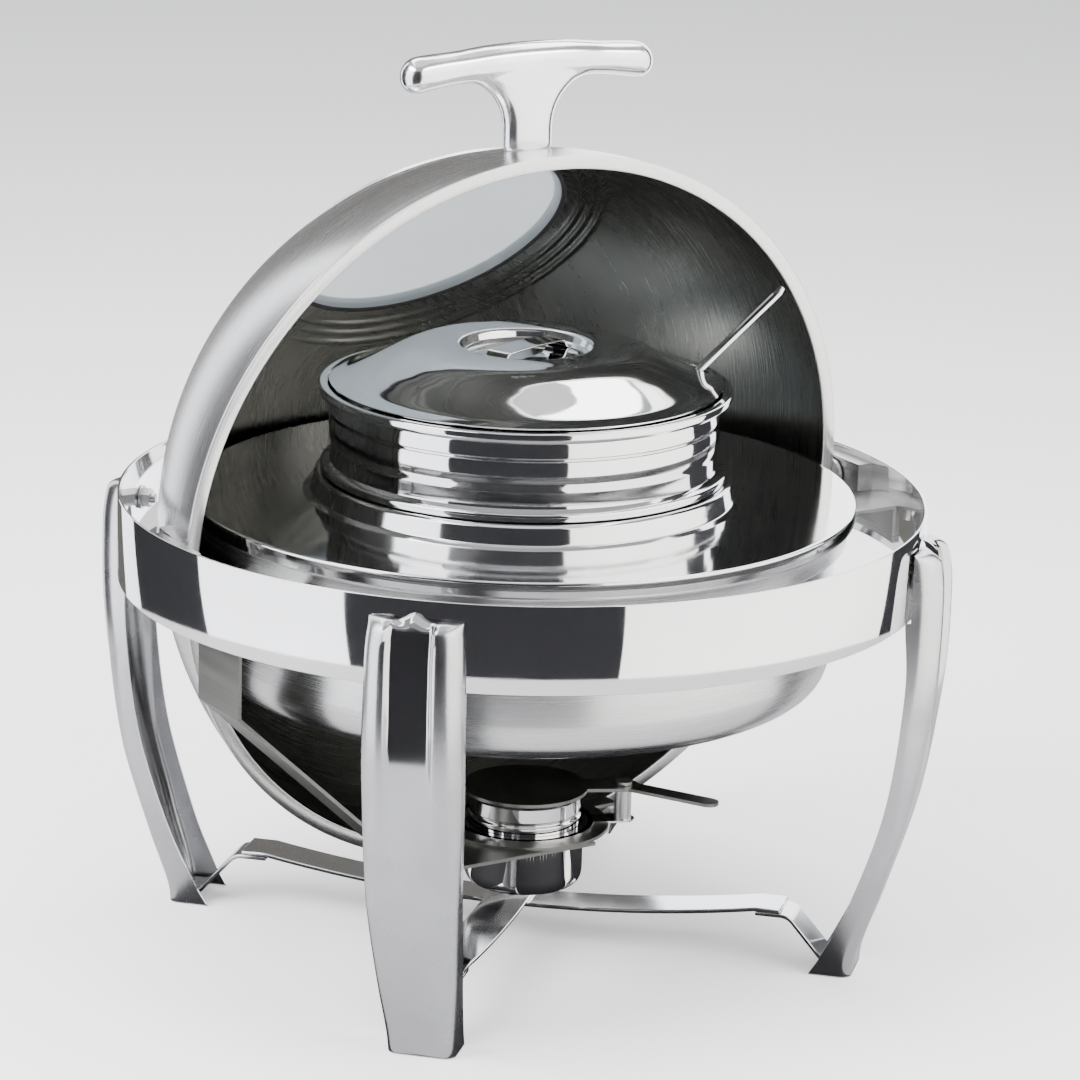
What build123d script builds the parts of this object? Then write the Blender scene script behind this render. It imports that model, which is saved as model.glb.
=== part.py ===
from build123d import *

import math
import os

# Roll top chafer, round soup station: stand, rolling dome lid, water pan, soup pot, fuel holder.
# Millimetres. +Z is up, the front is -Y, and the lid's hinge axis runs along X. The origin is on the
# band ring's axis, at the level of the feet. The lid is drawn fully open, resting on its stop.

os.makedirs("parts", exist_ok=True)

# Band ring
RING_R = 235.0
RING_WALL = 1.5
RING_TOP = 272.0
RING_HEIGHT = 50.0
RING_INNER = RING_R - RING_WALL

# Legs, at 45 degrees to the axes
LEG_ANGLES = {"front_left": 225, "front_right": 315, "rear_left": 135, "rear_right": 45}
LEG_WALL = 1.5
LEG_TOP = 262.0
BOLT_Z = 247.0
BOLT_R = 3.0
BOLT_HOLE_R = 3.2

# Cross braces and foot tabs
BRACE_WIDTH = 26.0
BRACE_THICK = 2.5
BRACE_END_R = 165.0
BRACE_FLAT_R = 150.0
BRACE_END_Z = 33.0
BRACE_MID_Z = 20.0
BRACE_GAP = 0.15

# Roll top lid. Local frame: pivot at the origin, opening in the XY plane, dome towards +Z.
PIVOT_Z = 257.0
OPEN_ANGLE = 82.5
SPHERE_R = 219.7
SPHERE_DROP = 17.7
DOME_WALL = 1.0
RIM_R = 219.0
RIM_WIDTH = 7.5
RIM_THICK = 1.2
WINDOW_ELEVATION = 50.0
WINDOW_R = 88.0
GASKET_WIDTH = 2.5
GLASS_THICK = 2.8
BEZEL_OUT = 96.0
BEZEL_IN = 82.0
BEZEL_THICK = 1.5

# T handle
HANDLE_ELEVATION = 9.0
HANDLE_TOP = 278.0
HANDLE_BAR_R = 10.5
HANDLE_HALF = 82.5
STEM_HALF = 15.0
STEM_THICK = 14.0
HANDLE_FILLET = 28.0
SCREW_SPACING = 10.0

# Hinge brackets and pins
BRACKET_X = 222.5
BRACKET_PLATE = 2.0
BRACKET_HALF = 24.0
BRACKET_LOW = 229.0
BRACKET_HIGH = 268.0
BOSS_X = 221.5
BOSS_R = 9.0
PIN_R = 3.0
PIN_CLEARANCE = 0.06

# Shelves that carry the water pan and the fuel hanger
SHELF_Y = (-60.0, -12.0)
SHELF_INNER_X = 183.2
SHELF_Z = 251.0
SHEET = 2.0

# Fuel hanger, fuel cup and snuffer
HANGER_X = 215.0
HANGER_KNEE_Z = 181.0
BASE_X = 97.0
BASE_Z = 72.0
CUP_Y = -12.0
CUP_R = 35.0
CUP_BOTTOM = 36.0
BASE_DISC_R = 50.0
COLLAR_R = 34.5
COLLAR_TOP = 92.0
SNUFFER_R = 37.0
SNUFFER_Z = 93.0
SNUFFER_PIVOT = (53.0, -37.0)
SNUFFER_TIP = (81.0, -86.0)

# Water pan, cover plate, soup pot and pot lid
PAN_RIM_R = 192.0
PAN_RIM_Z = 264.0
PAN_WALL_R = 182.6
PAN_CORNER = 27.3
PAN_BOTTOM = 162.7
PAN_SHOULDER_R = 189.2
PLATE_R = 194.0
PLATE_TOP = 273.0
COLLAR_HOLE_R = 114.5
COLLAR_SEAT_Z = 284.5
POT_RIM_R = 120.0
POT_RIM_Z = 337.0
POT_WALL_R = 112.0
POT_BOTTOM = 212.0
LID_R = 113.6
LID_TOP = 359.0
LID_PLATEAU_R = 62.0
LID_RECESS_R = 38.0
LID_RECESS_Z = 353.0

LIFT_GAP = 0.3

# Ladle: its handle passes the lid's notch along this direction
NOTCH_POINT = (104.3, -25.4, 341.0)
LADLE_DIRECTION = (0.698, -0.196, 0.689)
LADLE_ABOVE = 67.0
LADLE_BELOW = 150.0
LADLE_WIDTH = 9.0
LADLE_THICK = 2.2
BOWL_R = 28.0
BOWL_DEPTH = 22.0


# Helpers


def save(name, shape):
    """Write one node, a solid or a group of solids."""
    solids = shape.solids() if hasattr(shape, "solids") else ShapeList(shape)
    body = solids[0] if len(solids) == 1 else Compound(list(solids))
    export_step(body, f"parts/{name}.step")


def group(shapes):
    """Several separate solids as one shape."""
    return Compound([s for shape in shapes for s in shape.solids()])


def offset_line(points, distance):
    """The same open line moved to its left by a distance, with mitred corners."""
    moved = []
    for i, (x, y) in enumerate(points):
        before = points[max(i - 1, 0)]
        after = points[min(i + 1, len(points) - 1)]
        first = (x - before[0], y - before[1])
        second = (after[0] - x, after[1] - y)
        if i == 0:
            first = second
        if i == len(points) - 1:
            second = first
        a = math.atan2(first[1], first[0])
        b = math.atan2(second[1], second[0])
        half = math.remainder(b - a, math.tau) / 2
        reach = distance / math.cos(half)
        turn = a + half + math.pi / 2
        moved.append((x + reach * math.cos(turn), y + reach * math.sin(turn)))
    return moved


def ribbon(points, thickness):
    """A closed outline: an open line thickened to its left."""
    return list(points) + offset_line(points, thickness)[::-1]


def arc(cx, cz, radius, start, end, count=7):
    """Points on an arc, angles in degrees."""
    step = (end - start) / (count - 1)
    angles = [math.radians(start + step * i) for i in range(count)]
    return [(cx + radius * math.cos(a), cz + radius * math.sin(a)) for a in angles]


def xz_face(points):
    return make_face(Polyline(*[(x, 0, z) for x, z in points], close=True))


def turned(points):
    """A solid of revolution about Z from a closed outline in (radius, height)."""
    return revolve(xz_face(points), Axis.Z, 360)


def pressed(points, thickness):
    """A sheet of revolution: an open line in (radius, height), thickened to its left."""
    return turned(ribbon(points, thickness))


def extruded_y(points, low, high):
    """A closed outline in (x, z) run from y = low to y = high."""
    return Pos(0, high, 0) * extrude(xz_face(points), high - low, dir=(0, -1, 0))


def cylinder(radius, start, direction, length):
    plane = Plane(origin=start, z_dir=direction)
    return plane * Cylinder(radius, length, align=(Align.CENTER, Align.CENTER, Align.MIN))


def turn_z(shape, angle):
    return Rot(0, 0, angle) * shape


def block(x, y, z):
    """A box from its (low, high) pairs."""
    size = (x[1] - x[0], y[1] - y[0], z[1] - z[0])
    middle = ((x[0] + x[1]) / 2, (y[0] + y[1]) / 2, (z[0] + z[1]) / 2)
    return Pos(*middle) * Box(*size)


def mirrored(shape):
    return mirror(shape, Plane.YZ)


# Stand: band ring, legs, braces


def band_ring():
    low = RING_TOP - RING_HEIGHT
    outline = [(RING_INNER, low), (RING_R, low), (RING_R, RING_TOP), (RING_INNER, RING_TOP)]
    ring = turned(outline)
    for angle in LEG_ANGLES.values():
        hole = cylinder(BOLT_HOLE_R, (RING_INNER - 5, 0, BOLT_Z), (1, 0, 0), 10)
        ring -= turn_z(hole, angle)
    return ring


LEG_OUTER = [(246, LEG_TOP), (250, 256), (252, 235), (250.5, 180)]
LEG_OUTER += [(240, 110), (223, 50), (210, 12), (209, 0)]
LEG_INNER = [(184, 0), (192, 14), (208, 50), (226, 110), (234, 180), (232, 221.5)]
LEG_HALF_WIDTH = [(24, LEG_TOP), (26.5, 254), (28.5, 160), (25, 70), (19.5, 0)]


def leg_side_face(inset):
    """The leg's side view in (radius, height). The inset gives the channel's hollow."""
    outer = offset_line(LEG_OUTER, -inset) if inset else LEG_OUTER
    if inset:
        outer = [(r, min(z, LEG_TOP - inset)) for r, z in outer]
        outer[-1] = (outer[-1][0], -1)
        inner = [(150, -1), (150, 230), (RING_R, 230), (RING_R - 5, LEG_TOP - inset)]
    else:
        inner = LEG_INNER + [(RING_R + 0.2, 221.5), (RING_R + 0.2, LEG_TOP)]
    return xz_face(list(outer) + inner)


def leg_front_outline(inset):
    top = LEG_TOP + 1 if not inset else LEG_TOP - inset
    right = [(w - inset, z) for w, z in LEG_HALF_WIDTH]
    right[0] = (right[0][0], top)
    right[-1] = (right[-1][0], -1)
    return right + [(-w, z) for w, z in right[::-1]]


def leg():
    """A pressed channel, open towards the middle and notched over the band."""
    solids = []
    for inset, half in ((0, 40), (LEG_WALL, 40)):
        side = Pos(0, half, 0) * extrude(leg_side_face(inset), 2 * half, dir=(0, -1, 0))
        outline = [(0, y, z) for y, z in leg_front_outline(inset)]
        front = extrude(make_face(Polyline(*outline, close=True)), 300, dir=(1, 0, 0))
        solids.append(side & front)
    shape = solids[0] - solids[1]
    return shape - cylinder(BOLT_R, (230, 0, BOLT_Z), (1, 0, 0), 20.6)


def leg_fastener(kind):
    """The bolt, washer or nut that holds one leg to the band, along +X."""
    if kind == "bolt":
        return cylinder(BOLT_R, (224, 0, BOLT_Z), (1, 0, 0), 26.4)
    if kind == "washer":
        start = RING_INNER - 1.6
        blank = cylinder(7, (start, 0, BOLT_Z), (1, 0, 0), 1.2)
    else:
        start = RING_INNER - 6.6
        hexagon = extrude(RegularPolygon(5.8, 6), 5)
        blank = Plane(origin=(start, 0, BOLT_Z), z_dir=(1, 0, 0)) * hexagon
    return blank - cylinder(BOLT_R, (start - 1, 0, BOLT_Z), (1, 0, 0), 9)


def brace(lift):
    """A flat strap from foot to foot, bowed down in the middle."""
    low = BRACE_END_Z
    mid = BRACE_MID_Z
    sides = []
    for z in (0, BRACE_THICK):
        left = (-BRACE_FLAT_R, 0, low + z)
        right = (BRACE_FLAT_R, 0, low + z)
        sides.append((left, ThreePointArc(left, (0, 0, mid + lift + z), right), right))
    (l0, bottom, r0), (l1, top, r1) = sides
    ends = []
    for sign, a, b in ((-1, l0, l1), (1, r0, r1)):
        tip = sign * BRACE_END_R
        ends += [Line(a, (tip, 0, a[2])), Line((tip, 0, a[2]), (tip, 0, b[2])), Line((tip, 0, b[2]), b)]
    face = make_face([bottom, top] + ends)
    half = BRACE_WIDTH / 2
    strap = Pos(0, half, 0) * extrude(face, BRACE_WIDTH, dir=(0, -1, 0))
    return strap - cylinder(3, (0, 0, 0), (0, 0, 1), 60)


def brace_rivet():
    """The rivet through both straps where they cross."""
    length = 2 * BRACE_THICK + BRACE_GAP
    shank = cylinder(3, (0, 0, BRACE_MID_Z), (0, 0, 1), length + 0.1)
    return shank + cylinder(6, (0, 0, BRACE_MID_Z + length + 0.1), (0, 0, 1), 1.5)


def foot_tab():
    """A Z-shaped tab from under a brace's end down to the inside of a foot."""
    top = BRACE_END_Z
    line = [(207, 4), (192, 4), (169, top - 2.5), (BRACE_FLAT_R, top - 2.5)]
    return extruded_y(ribbon(line, -2.5), -BRACE_WIDTH / 2 + 0.5, BRACE_WIDTH / 2 - 0.5)


# Hinge and supports, right side (+X); the left side is mirrored


def ring_bore():
    """The space inside the band ring."""
    return Pos(0, 0, 250) * Cylinder(RING_INNER, 200)


def hinge_bracket():
    """A box bracket on the ring's inner wall that holds the hinge pin."""
    outer = block((BRACKET_X, 240), (-BRACKET_HALF, BRACKET_HALF), (BRACKET_LOW, BRACKET_HIGH))
    depth = BRACKET_HALF - BRACKET_PLATE
    height = (BRACKET_LOW - 1, BRACKET_HIGH - BRACKET_PLATE)
    hollow = block((BRACKET_X + BRACKET_PLATE, 241), (-depth, depth), height)
    shape = (outer - hollow) & ring_bore()
    shape -= shelf_cut()
    return shape - cylinder(PIN_R, (BRACKET_X - 1, 0, PIVOT_Z), (1, 0, 0), 6)


def shelf_cut():
    """Room in the bracket's flange for the shelf and the hanger's tab."""
    return block((BRACKET_X - 1, 240), (-61, -11.5), (BRACKET_LOW - 2, SHELF_Z + 0.2))


def hinge_pin():
    """A shouldered pin: its tip carries the lid's boss, its shank is riveted in the bracket."""
    return cylinder(PIN_R, (219.6, 0, PIVOT_Z), (1, 0, 0), 8)


def pan_shelf():
    """An angle on the ring's inner wall: the pan's shoulder rests on its shelf."""
    low, high = SHELF_Y
    flat = block((SHELF_INNER_X, 240), (low, high), (SHELF_Z - SHEET, SHELF_Z))
    upright = block((200, 240), (low, high), (228, SHELF_Z))
    wall = Pos(0, 0, 250) * Cylinder(RING_INNER - SHEET, 200)
    return (flat + (upright - wall)) & ring_bore()


def shelf_screw_holes():
    x = (HANGER_X + 195) / 2
    return group([cylinder(2.5, (x, y, 240), (0, 0, 1), 15) for y in (-48, -24)])


def shelf_screw():
    """A pan-head screw from above through the shelf and the hanger's tab."""
    x = (HANGER_X + 195) / 2
    screws = []
    for y in (-48, -24):
        shank = cylinder(2.5, (x, y, 243), (0, 0, 1), 8)
        head = cylinder(4.2, (x, y, SHELF_Z), (0, 0, 1), 1.8)
        screws.append(shank + head)
    return group(screws)


def shelf_nut():
    x = (HANGER_X + 195) / 2
    nuts = []
    for y in (-48, -24):
        hexagon = extrude(RegularPolygon(4.6, 6), 3.6)
        nut = Pos(x, y, SHELF_Z - 2 * SHEET - 3.6) * hexagon
        nuts.append(nut - cylinder(2.5, (x, y, 240), (0, 0, 1), 10))
    return group(nuts)


# Fuel hanger, cup and snuffer


def flat_bar(start, end, width, z, thickness):
    """A flat bar of sheet between two points."""
    dx = end[0] - start[0]
    dy = end[1] - start[1]
    bar = block((0, math.hypot(dx, dy)), (-width / 2, width / 2), (0, thickness))
    return Pos(*start, z) * Rot(0, 0, math.degrees(math.atan2(dy, dx))) * bar


def fuel_hanger():
    """One strap: down from the left shelf, in under the pan, and flat under the fuel cup."""
    low, high = SHELF_Y
    under = SHELF_Z - SHEET
    base = BASE_Z - 1
    arm = [(-192, under - SHEET), (-HANGER_X, under - SHEET), (-HANGER_X, HANGER_KNEE_Z)]
    strap = extruded_y(ribbon(arm + [(-BASE_X, base), (20, base)], -SHEET), low, high)
    disc = cylinder(BASE_DISC_R, (0, CUP_Y, base), (0, 0, 1), SHEET)
    tongue = block((BASE_DISC_R - 8, BASE_DISC_R + 16), (-10, 2), (base, base + SHEET))
    shape = strap + disc + tongue
    shape -= cylinder(CUP_R + 0.6, (0, CUP_Y, 60), (0, 0, 1), 30)
    return shape - mirrored(shelf_screw_holes())


def fuel_cup():
    """The bowl that hangs by its lip in the hanger's hole. Its lip has an ear for the snuffer."""
    seat = BASE_Z + 1
    corner = arc(CUP_R - 9, CUP_BOTTOM + 9, 9, 270, 360)
    line = [(0, CUP_BOTTOM)] + corner + [(CUP_R, seat), (CUP_R + 6, seat)]
    cup = Pos(0, CUP_Y, 0) * pressed(line, 1.0)
    px, py = SNUFFER_PIVOT
    ear = flat_bar((0, CUP_Y), (px, py), 14, seat, 1.0) + cylinder(7, (px, py, seat), (0, 0, 1), 1.0)
    ear -= cylinder(CUP_R + 0.5, (0, CUP_Y, seat - 1), (0, 0, 1), 3)
    return cup + ear - cylinder(3, (px, py, seat - 1), (0, 0, 1), 3)


def burner_collar():
    """The upper ring round the flame, with a rolled top edge."""
    low = BASE_Z + 2
    line = [(COLLAR_R - 1, low), (COLLAR_R - 1, low + 5), (COLLAR_R - 2.5, low + 7), (COLLAR_R - 1, low + 9)]
    line += [(COLLAR_R - 1, COLLAR_TOP - 1.5), (COLLAR_R + 0.5, COLLAR_TOP)]
    return Pos(0, CUP_Y, 0) * pressed(line, 1.2)


def snuffer_post():
    """The post riveted to the fuel cup's ear, that the snuffer cover turns on."""
    seat = BASE_Z + 2
    lower = cylinder(3, (*SNUFFER_PIVOT, BASE_Z + 1), (0, 0, 1), 4)
    post = cylinder(5, (*SNUFFER_PIVOT, seat), (0, 0, 1), SNUFFER_Z - LIFT_GAP - seat)
    neck = cylinder(2.5, (*SNUFFER_PIVOT, SNUFFER_Z - 1), (0, 0, 1), 4.5)
    head = cylinder(5, (*SNUFFER_PIVOT, SNUFFER_Z + 2.3), (0, 0, 1), 1.8)
    return lower + post + neck + head


def snuffer_cover():
    """A flat cover over the flame, with a long flat handle past its pivot."""
    px, py = SNUFFER_PIVOT
    tx, ty = SNUFFER_TIP
    z = SNUFFER_Z
    disc = cylinder(SNUFFER_R, (0, CUP_Y, z), (0, 0, 1), SHEET)
    arm = flat_bar((0, CUP_Y), (px, py), 18, z, SHEET) + flat_bar((px, py), (tx, ty), 12, z, SHEET)
    tip = cylinder(6, (tx, ty, z), (0, 0, 1), SHEET)
    boss = cylinder(9, (px, py, z), (0, 0, 1), SHEET)
    return disc + arm + tip + boss - cylinder(2.5 + PIN_CLEARANCE, (px, py, z - 1), (0, 0, 1), 5)


# Pans


def water_pan():
    """The water pan: a flat rim, a shoulder that rests on the shelves, and a rounded bowl."""
    side = [(PAN_RIM_R, PAN_RIM_Z - 1), (PAN_SHOULDER_R + 1, PAN_RIM_Z - 1)]
    side += [(PAN_SHOULDER_R, SHELF_Z), (PAN_WALL_R, SHELF_Z)]
    bowl = arc(PAN_WALL_R - PAN_CORNER, PAN_BOTTOM + PAN_CORNER, PAN_CORNER, 0, -90) + [(0, PAN_BOTTOM)]
    return pressed((side + bowl)[::-1], 1.0)


def cover_plate():
    """The flat ring plate over the pan, rolled down outside and raised round the pot's hole."""
    edge = [(PLATE_R, PAN_RIM_Z + LIFT_GAP), (PLATE_R, PLATE_TOP - 1), (PLATE_R - 1.5, PLATE_TOP)]
    seat = [(127, PLATE_TOP - 0.6), (122.5, 275.5), (121, 283)]
    seat += [(119.5, COLLAR_SEAT_Z), (COLLAR_HOLE_R, COLLAR_SEAT_Z)]
    return pressed(edge + seat, 1.0)


def soup_pot():
    """The pot: rolled rim, beaded neck, a shoulder on the plate's collar, and a deep body."""
    wall = POT_WALL_R
    top = POT_RIM_Z
    rim = [(POT_RIM_R, top - 4), (POT_RIM_R, top - 1.2), (POT_RIM_R - 1.2, top), (wall + 2.2, top)]
    neck = [(wall + 1, top - 2), (wall, top - 13), (wall + 1.8, top - 17), (wall + 1.8, top - 20)]
    neck += [(wall, top - 25), (wall, top - 33), (wall + 1.8, top - 37), (wall + 1.8, top - 41)]
    seat = COLLAR_SEAT_Z + 1 + LIFT_GAP
    shoulder = [(wall + 1, 291), (117, 289.5), (117, seat), (wall + 1, seat)]
    body = [(wall, 281)] + arc(wall - 16, POT_BOTTOM + 16, 16, 0, -90) + [(0, POT_BOTTOM)]
    return pressed(rim + neck + shoulder + body, 1.0)


def pot_lid():
    """A shallow conical lid with a flat top, a round recess and a notch for the ladle."""
    rise = [(LID_R, POT_RIM_Z + LIFT_GAP), (107, POT_RIM_Z + 1.5)]
    rise += [(97, POT_RIM_Z + 5.6), (84, POT_RIM_Z + 12)]
    rise += [(72, LID_TOP - 3.6), (LID_PLATEAU_R, LID_TOP - 1)]
    top = [(LID_RECESS_R + 2, LID_TOP - 0.4), (LID_RECESS_R, LID_TOP - 2)]
    top += [(LID_RECESS_R - 4, LID_RECESS_Z), (0, LID_RECESS_Z)]
    lid = pressed(rise + top, -1.0)
    azimuth = math.degrees(math.atan2(NOTCH_POINT[1], NOTCH_POINT[0]))
    return lid - turn_z(block((98, 125), (-8.5, 8.5), (330, 362)), azimuth)


def lid_grip():
    """A flat bar grip across the lid's recess, on two feet."""
    z = LID_RECESS_Z + 1.0
    line = [(-30, z), (-24, z), (-20, z + 5), (20, z + 5), (24, z), (30, z)]
    return turn_z(extruded_y(ribbon(line, 1.2), -7.5, 7.5), 20)


def ladle_frame(distance):
    """A plane across the ladle's handle, a distance along it from the notch."""
    d = Vector(*LADLE_DIRECTION).normalized()
    origin = Vector(*NOTCH_POINT) + d * distance
    return Plane(origin=origin, x_dir=Vector(0, 0, 1).cross(d), z_dir=d)


def ladle_handle():
    """A flat strip with a rounded end."""
    length = LADLE_ABOVE + LADLE_BELOW
    align = (Align.CENTER, Align.CENTER, Align.MIN)
    return ladle_frame(-LADLE_BELOW) * Box(LADLE_WIDTH, LADLE_THICK, length, align=align)


def ladle_bowl():
    """A shallow round bowl whose rim meets the handle's lower end."""
    d = Vector(*LADLE_DIRECTION).normalized()
    end = Vector(*NOTCH_POINT) - d * LADLE_BELOW
    inward = Vector(-d.X, -d.Y, 0).normalized()
    centre = end + inward * (BOWL_R + 0.5)
    line = [(0, -BOWL_DEPTH), (9, -BOWL_DEPTH), (17, -BOWL_DEPTH + 5), (24.5, -BOWL_DEPTH + 13), (BOWL_R, 0)]
    return Pos(*centre) * pressed(line, 1.0)


# Roll top lid, drawn closed about its pivot and then laid open


def opened(shape):
    return Pos(0, 0, PIVOT_Z) * Rot(-OPEN_ANGLE, 0, 0) * shape


def sphere(radius):
    return Pos(0, 0, -SPHERE_DROP) * Sphere(radius)


def cap(outer, inner):
    """A spherical shell above the opening plane."""
    return (sphere(outer) - sphere(inner)) & block((-240, 240), (-240, 240), (0, 240))


def window_core(radius):
    """A cylinder along the window's axis, through the dome."""
    a = math.radians(WINDOW_ELEVATION)
    direction = (0, -math.cos(a), math.sin(a))
    return cylinder(radius, (0, 0, -SPHERE_DROP), direction, 240)


def dome_shell():
    shell = cap(SPHERE_R, SPHERE_R - DOME_WALL) - window_core(WINDOW_R)
    for x in (-SCREW_SPACING, 0, SCREW_SPACING):
        shell -= handle_line(x, 2.0, 190, 40)
    return shell


def rim_strip():
    """The flat strip folded in round the lid's edge."""
    inner = RIM_R - RIM_WIDTH
    outline = [(inner, 0), (RIM_R - DOME_WALL, 0), (RIM_R - DOME_WALL, RIM_THICK), (inner, RIM_THICK)]
    return turned(outline) & sphere(SPHERE_R - DOME_WALL)


def window_glass():
    return cap(SPHERE_R, SPHERE_R - GLASS_THICK) & window_core(WINDOW_R - GASKET_WIDTH)


def window_gasket():
    ring = window_core(WINDOW_R) - window_core(WINDOW_R - GASKET_WIDTH)
    return cap(SPHERE_R, SPHERE_R - GLASS_THICK) & ring


def window_bezel():
    ring = window_core(BEZEL_OUT) - window_core(BEZEL_IN)
    return cap(SPHERE_R + BEZEL_THICK, SPHERE_R) & ring


def lid_boss():
    """The ear on the dome's side that turns on the hinge pin."""
    ear = cylinder(BOSS_R, (219.3, 0, 0), (1, 0, 0), BOSS_X - 219.3)
    pad = block((205, BOSS_X), (-BOSS_R, BOSS_R), (0.5, 30)) - sphere(SPHERE_R)
    return ear + pad - cylinder(PIN_R + PIN_CLEARANCE, (200, 0, 0), (1, 0, 0), 30)


def handle_plane():
    """Along the handle: X across the lid, Z away from the pivot."""
    a = math.radians(HANDLE_ELEVATION)
    return Plane(origin=(0, 0, 0), x_dir=(1, 0, 0), z_dir=(0, -math.cos(a), math.sin(a)))


def handle_line(x, radius, start, length):
    align = (Align.CENTER, Align.CENTER, Align.MIN)
    return handle_plane() * (Pos(x, 0, start) * Cylinder(radius, length, align=align))


def t_handle():
    """A cast T: rounded crossbar, large fillets, and a stem whose foot fits the dome."""
    bar_low = HANDLE_TOP - 2 * HANDLE_BAR_R
    inner = STEM_HALF + HANDLE_FILLET
    fillet = arc(inner, bar_low - HANDLE_FILLET, HANDLE_FILLET, 90, 180)
    end = arc(HANDLE_HALF - HANDLE_BAR_R, bar_low + HANDLE_BAR_R, HANDLE_BAR_R, 90, -90)
    half = end + fillet + [(STEM_HALF + 2, 200)]
    outline = half + [(-x, z) for x, z in half[::-1]]
    front = extruded_y(outline, -HANDLE_BAR_R, HANDLE_BAR_R)
    stem = STEM_THICK / 2
    side = [(stem, 190), (stem, bar_low - 22), (HANDLE_BAR_R, bar_low - 5)]
    side += [(HANDLE_BAR_R, HANDLE_TOP - 8), (5, HANDLE_TOP)]
    side += [(-y, z) for y, z in side[::-1]]
    profile = extrude(make_face(Polyline(*[(-100, y, z) for y, z in side], close=True)), 200, dir=(1, 0, 0))
    shape = handle_plane() * (front & profile)
    shape -= sphere(SPHERE_R)
    for x in (-SCREW_SPACING, 0, SCREW_SPACING):
        shape -= handle_line(x, 2.0, 190, 40)
    return shape


def handle_screws():
    screws = []
    for x in (-SCREW_SPACING, 0, SCREW_SPACING):
        shank = handle_line(x, 2.0, 212.5, 17)
        head = handle_line(x, 4.0, 212.5, 6) & sphere(SPHERE_R - DOME_WALL)
        screws.append(shank + head)
    return group(screws)


# Nodes

save("band_ring", band_ring())
for name, angle in LEG_ANGLES.items():
    save(f"leg_{name}", turn_z(leg(), angle))
for kind in ("bolt", "washer", "nut"):
    save(f"leg_{kind}s", group([turn_z(leg_fastener(kind), a) for a in LEG_ANGLES.values()]))
save("foot_tabs", group([turn_z(foot_tab(), a) for a in LEG_ANGLES.values()]))
save("brace_upper", turn_z(brace(BRACE_THICK + BRACE_GAP), 45))
save("brace_lower", turn_z(brace(0), 135))
save("brace_rivet", brace_rivet())

for side, place in (("right", lambda s: s), ("left", mirrored)):
    save(f"hinge_bracket_{side}", place(hinge_bracket()))
    save(f"hinge_pin_{side}", place(hinge_pin()))
    shelf = place(pan_shelf())
    if side == "left":
        shelf -= mirrored(shelf_screw_holes())
    save(f"pan_shelf_{side}", shelf)
    save(f"lid_boss_{side}", opened(place(lid_boss())))
save("shelf_screws", mirrored(shelf_screw()))
save("shelf_nuts", mirrored(shelf_nut()))

save("fuel_hanger", fuel_hanger())
save("snuffer_post", snuffer_post())
save("snuffer_cover", snuffer_cover())
save("fuel_cup", fuel_cup())
save("burner_collar", burner_collar())

save("water_pan", water_pan())
save("cover_plate", cover_plate())
save("soup_pot", soup_pot())
save("pot_lid", pot_lid())
save("lid_grip", lid_grip())
save("ladle_handle", ladle_handle())
save("ladle_bowl", ladle_bowl())

save("dome_shell", opened(dome_shell()))
save("rim_strip", opened(rim_strip()))
save("window_glass", opened(window_glass()))
save("window_gasket", opened(window_gasket()))
save("window_bezel", opened(window_bezel()))
save("t_handle", opened(t_handle()))
save("handle_screws", opened(handle_screws()))
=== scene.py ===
"""Roll top chafer: polished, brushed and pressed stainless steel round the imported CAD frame.

Drawing helpers take millimetres in the frame's axes; Blender meshes are in metres.
The lid is drawn closed about its pivot and laid open by LID_MATRIX.
"""
import math

import bmesh
import bpy
from mathutils import Matrix, Vector

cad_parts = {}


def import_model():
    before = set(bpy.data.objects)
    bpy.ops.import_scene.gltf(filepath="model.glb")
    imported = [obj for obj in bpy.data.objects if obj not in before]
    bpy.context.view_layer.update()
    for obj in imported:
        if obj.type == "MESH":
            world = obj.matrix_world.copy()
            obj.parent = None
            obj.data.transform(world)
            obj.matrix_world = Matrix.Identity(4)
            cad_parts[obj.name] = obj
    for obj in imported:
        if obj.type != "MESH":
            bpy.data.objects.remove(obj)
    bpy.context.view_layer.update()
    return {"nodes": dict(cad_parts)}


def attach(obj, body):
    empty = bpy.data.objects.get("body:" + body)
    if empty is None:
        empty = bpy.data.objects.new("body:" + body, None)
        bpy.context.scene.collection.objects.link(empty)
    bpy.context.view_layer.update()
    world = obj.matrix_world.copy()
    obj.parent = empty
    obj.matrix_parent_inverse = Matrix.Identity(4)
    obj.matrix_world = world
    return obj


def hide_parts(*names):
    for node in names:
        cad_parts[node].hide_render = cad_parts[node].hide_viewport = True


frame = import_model()

MM = 0.001
ROUND = 256

# Driving sizes, millimetres
PIVOT_Z = 257.0
OPEN_ANGLE = 82.5
SPHERE_R = 219.7
SPHERE_DROP = 17.7
DOME_WALL = 1.0
RIM_R = 219.0
WINDOW_ELEVATION = 50.0
WINDOW_R = 88.0
HANDLE_ELEVATION = 9.0
RING_R = 235.0
RING_TOP = 272.0
LEG_TURNS = {"front_left": 225, "front_right": 315, "rear_left": 135, "rear_right": 45}
CUP_Y = -12.0
LEG_WALL = 1.5
POT_RIM_Z = 337.0
PAN_R = 182.6
PAN_LOW = 162.7

LID_MATRIX = Matrix.Translation((0, 0, PIVOT_Z)) @ Matrix.Rotation(-math.radians(OPEN_ANGLE), 4, "X")


# ---------------------------------------------------------------- materials


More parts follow.
